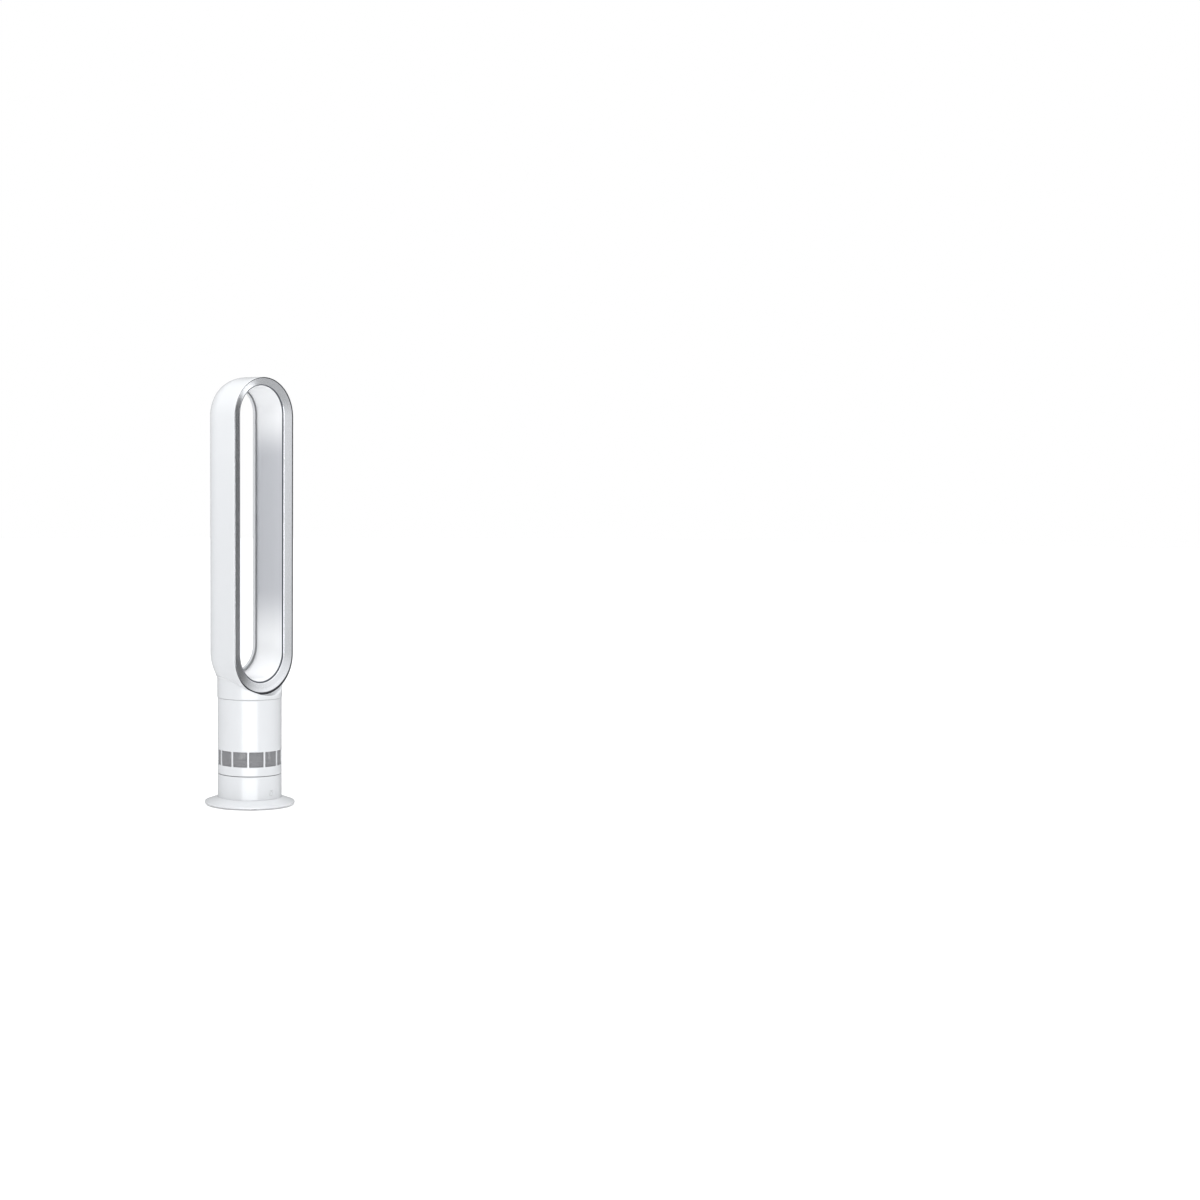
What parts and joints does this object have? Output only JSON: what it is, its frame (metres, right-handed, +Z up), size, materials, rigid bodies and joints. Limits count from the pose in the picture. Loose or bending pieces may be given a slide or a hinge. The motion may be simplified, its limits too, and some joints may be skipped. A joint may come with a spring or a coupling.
{
  "type": "tower fan",
  "caption": "Bladeless tower fan: tall loop amplifier on a cylindrical body with inlet windows, on a round base plate.",
  "frame": {"origin": "on the floor, at the centre of the round base", "axes": "+Z up along the swivel axis, -Y towards the front (air outlet and power button), +X to the right limb seen from the front"},
  "size_m": [0.213, 0.213, 1.007],
  "materials": {
    "white_shell": "satin-gloss white moulded plastic",
    "silver_ring": "satin silver painted plastic",
    "inner_silver": "glossy pale silver painted plastic",
    "inlet_mesh": "fine perforated sheet, painted grey",
    "button": "satin white plastic with a grey ring",
    "dark_plastic": "fine-textured dark plastic",
    "grey_plastic": "fine-textured grey plastic",
    "rubber": "soft matt rubber",
    "foam": "open-cell acoustic foam",
    "steel": "machined steel",
    "copper": "wound copper and laminations",
    "acetal": "natural acetal",
    "board": "circuit board with solder mask"
  },
  "bodies": {
    "base": {"base_plate": "white_shell", "base_bottom_cover": "dark_plastic", "ballast_plate": "steel", "rubber_foot_1": "rubber", "rubber_foot_2": "rubber", "rubber_foot_3": "rubber", "rubber_foot_4": "rubber", "rubber_foot_5": "rubber", "base_screw_1": "steel", "base_screw_2": "steel", "base_screw_3": "steel", "base_screw_4": "steel", "cable_gland": "rubber", "lower_housing": "white_shell", "turntable_plate": "grey_plastic", "pivot_post": "acetal", "pivot_clip": "steel", "glide_ring": "acetal", "oscillation_motor": "steel", "motor_bracket": "grey_plastic", "control_board": "board", "tact_switch": "dark_plastic"},
    "tower": {"swivel_plate": "grey_plastic", "driven_gear": "acetal", "body_casing": "white_shell", "inlet_mesh": "inlet_mesh", "lower_foam": "foam", "upper_foam": "foam", "neck_seal": "rubber", "impeller_housing": "grey_plastic", "mount_ring": "rubber", "motor_bucket_lower": "grey_plastic", "motor_bucket_upper": "grey_plastic", "diffuser": "grey_plastic", "motor_stator": "copper", "bearing_lower": "steel", "bearing_upper": "steel", "driver_board": "board", "neck_shell": "white_shell", "loop_outer_casing": "white_shell", "loop_inner_casing": "inner_silver", "front_ring": "silver_ring"},
    "impeller": {"impeller": "dark_plastic", "motor_shaft": "steel", "motor_rotor": "steel", "impeller_nut": "steel"},
    "pinion": {"oscillation_pinion": "acetal"},
    "button": {"power_button": "button", "switch_plunger": "dark_plastic"}
  },
  "joints": [
    {"name": "oscillation", "type": "hinge", "parent": "base", "child": "tower", "pos_m": [0, 0, 0.065], "axis": [0, 0, 1], "range_deg": [-35, 35]},
    {"name": "pinion_spin", "type": "hinge", "parent": "base", "child": "pinion", "pos_m": [0, 0.0391, 0.0672], "axis": [0, 0, 1], "range_deg": [-120, 120]},
    {"name": "impeller_spin", "type": "hinge", "parent": "tower", "child": "impeller", "pos_m": [0, 0, 0.15], "axis": [0, 0, 1], "continuous": true},
    {"name": "button_press", "type": "slide", "parent": "base", "child": "button", "axis": [0, 1, 0], "range_m": [0, 0.001], "stiffness_N_per_m": 600, "springref_m": -0.001}
  ],
  "couplings": [
    {"joint": "pinion_spin", "follows": "oscillation", "ratio": -3.3333}
  ]
}
